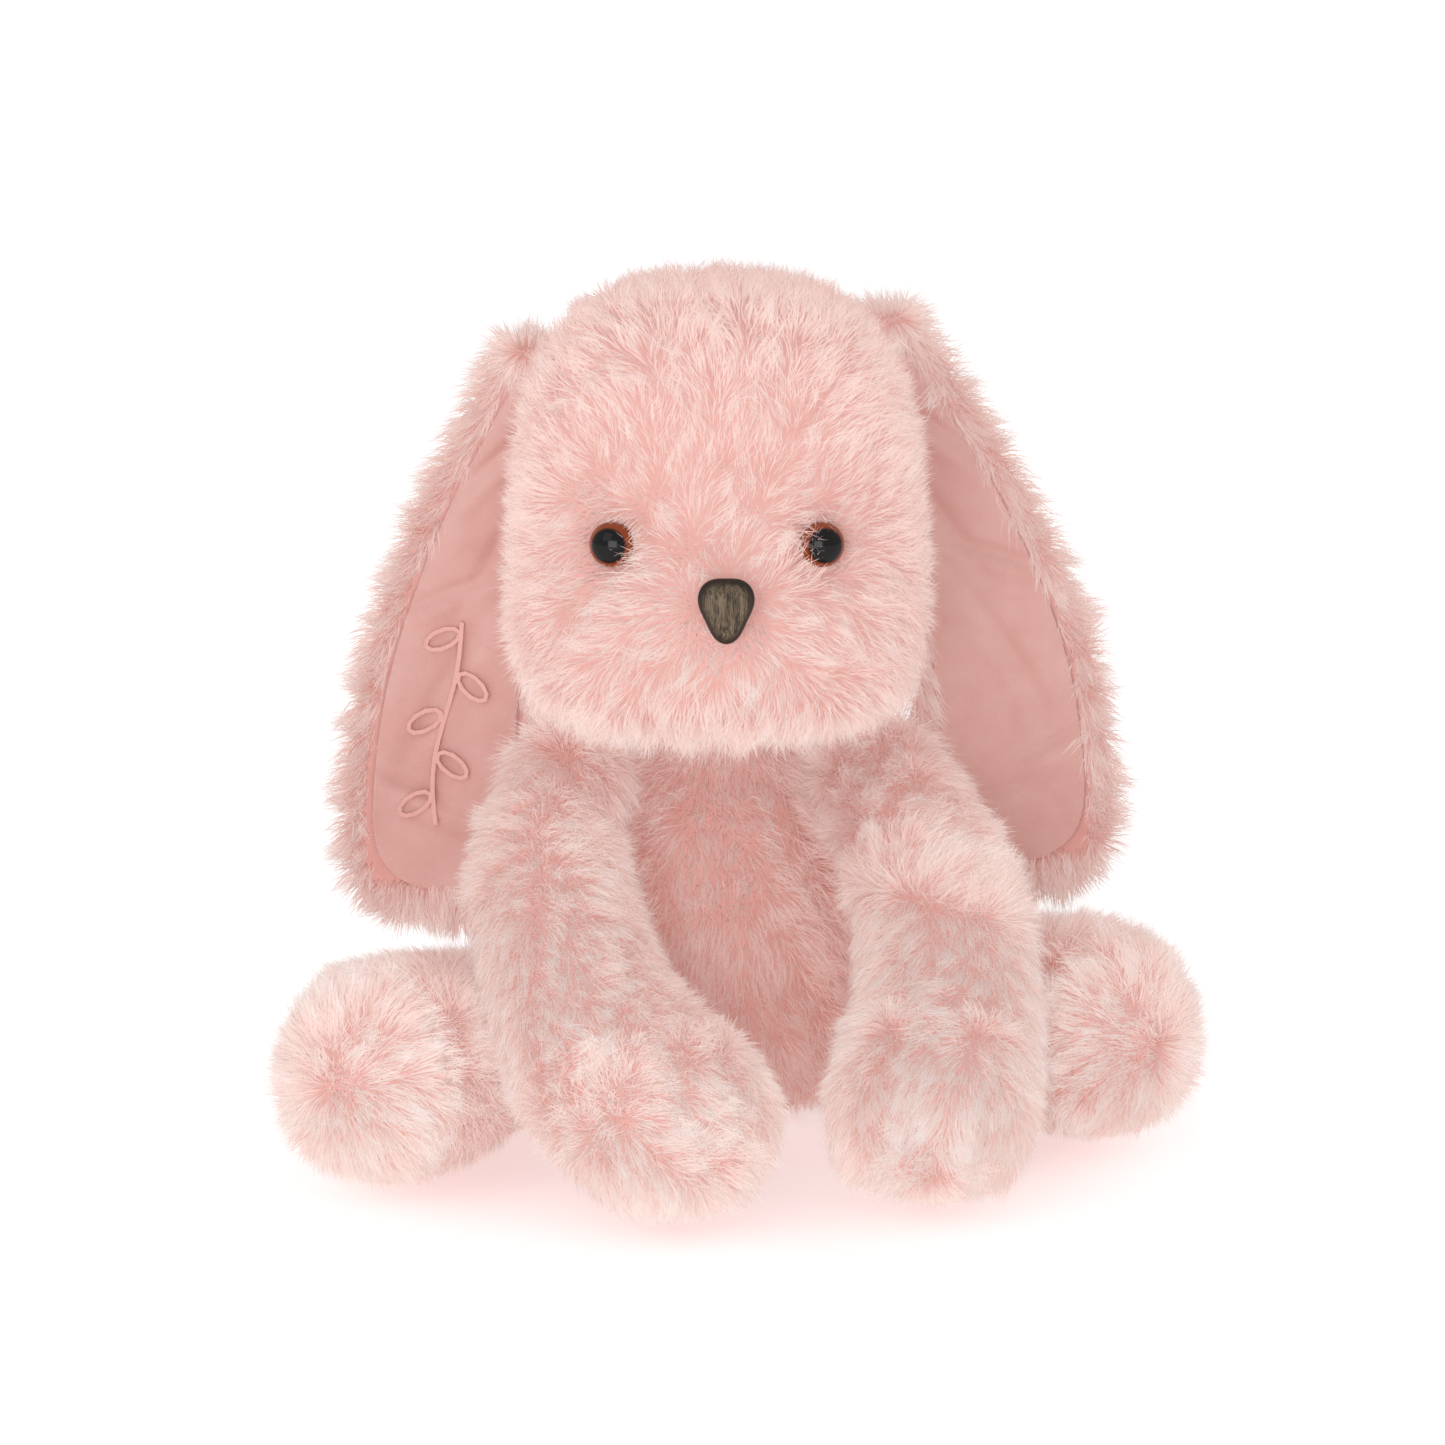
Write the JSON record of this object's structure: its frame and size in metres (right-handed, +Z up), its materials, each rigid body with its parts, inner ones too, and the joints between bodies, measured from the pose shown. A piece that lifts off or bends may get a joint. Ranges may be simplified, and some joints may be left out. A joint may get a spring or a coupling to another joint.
{
  "type": "stuffed toy rabbit",
  "caption": "Seated lop-eared rabbit, stuffed, in pale pink long-pile fabric with velvet-lined hanging ears, arms reaching forward and legs spread.",
  "frame": {"origin": "middle of the flat seat under the torso, on the surface it rests on", "axes": "+Z up, -Y the way the face looks, +X the rabbit's own left"},
  "size_m": [0.2646, 0.2344, 0.253],
  "materials": {
    "fur": "long-pile faux fur, pale pink",
    "filling": "polyester fibre filling",
    "bean_cloth": "woven pouch of weighting beans",
    "velvet": "short-pile velvet, deeper pink",
    "thread": "embroidery thread",
    "nose_satin": "brushed satin, grey brown",
    "eye_lens": "polished domed lens",
    "eye_iris": "red-brown moulded disc and post",
    "nylon": "natural nylon"
  },
  "bodies": {
    "torso": {"torso_skin": "fur", "torso_filling": "filling", "bean_pouch": "bean_cloth", "tail_skin": "fur", "tail_filling": "filling"},
    "head": {"head_skin": "fur", "head_filling": "filling", "nose_cover": "nose_satin", "nose_filling": "filling", "eye_lens_right": "eye_lens", "eye_post_right": "eye_iris", "eye_washer_right": "nylon", "eye_lens_left": "eye_lens", "eye_post_left": "eye_iris", "eye_washer_left": "nylon"},
    "ear_right": {"ear_fur_right": "fur", "ear_lining_right": "velvet", "ear_motif_right": "thread"},
    "ear_left": {"ear_fur_left": "fur", "ear_lining_left": "velvet"},
    "arm_right": {"arm_skin_right": "fur", "arm_filling_right": "filling"},
    "arm_left": {"arm_skin_left": "fur", "arm_filling_left": "filling"},
    "leg_right": {"leg_skin_right": "fur", "leg_filling_right": "filling"},
    "leg_left": {"leg_skin_left": "fur", "leg_filling_left": "filling"}
  },
  "joints": [
    {"name": "neck_nod", "type": "hinge", "parent": "torso", "child": "head", "pos_m": [0, -0.01, 0.129], "axis": [1, 0, 0], "range_deg": [-8, 8], "stiffness_Nm_per_rad": 0.9},
    {"name": "ear_right_lift", "type": "hinge", "parent": "head", "child": "ear_right", "pos_m": [-0.05329, -0.01, 0.223], "axis": [0, 1, 0], "range_deg": [0, 105]},
    {"name": "ear_left_lift", "type": "hinge", "parent": "head", "child": "ear_left", "pos_m": [0.04538, -0.01, 0.232], "axis": [0, -1, 0], "range_deg": [0, 105]},
    {"name": "arm_right_lift", "type": "hinge", "parent": "torso", "child": "arm_right", "pos_m": [-0.04464, -0.02831, 0.101], "axis": [-1, 0, 0], "range_deg": [0, 24]},
    {"name": "arm_left_lift", "type": "hinge", "parent": "torso", "child": "arm_left", "pos_m": [0.0448, -0.01287, 0.101], "axis": [-1, 0, 0], "range_deg": [0, 24]},
    {"name": "leg_right_splay", "type": "hinge", "parent": "torso", "child": "leg_right", "pos_m": [-0.03795, -0.01663, 0.027], "axis": [0, 0, -1], "range_deg": [0, 30]},
    {"name": "leg_left_splay", "type": "hinge", "parent": "torso", "child": "leg_left", "pos_m": [0.04096, 0.00818, 0.027], "axis": [0, 0, 1], "range_deg": [0, 16]}
  ]
}
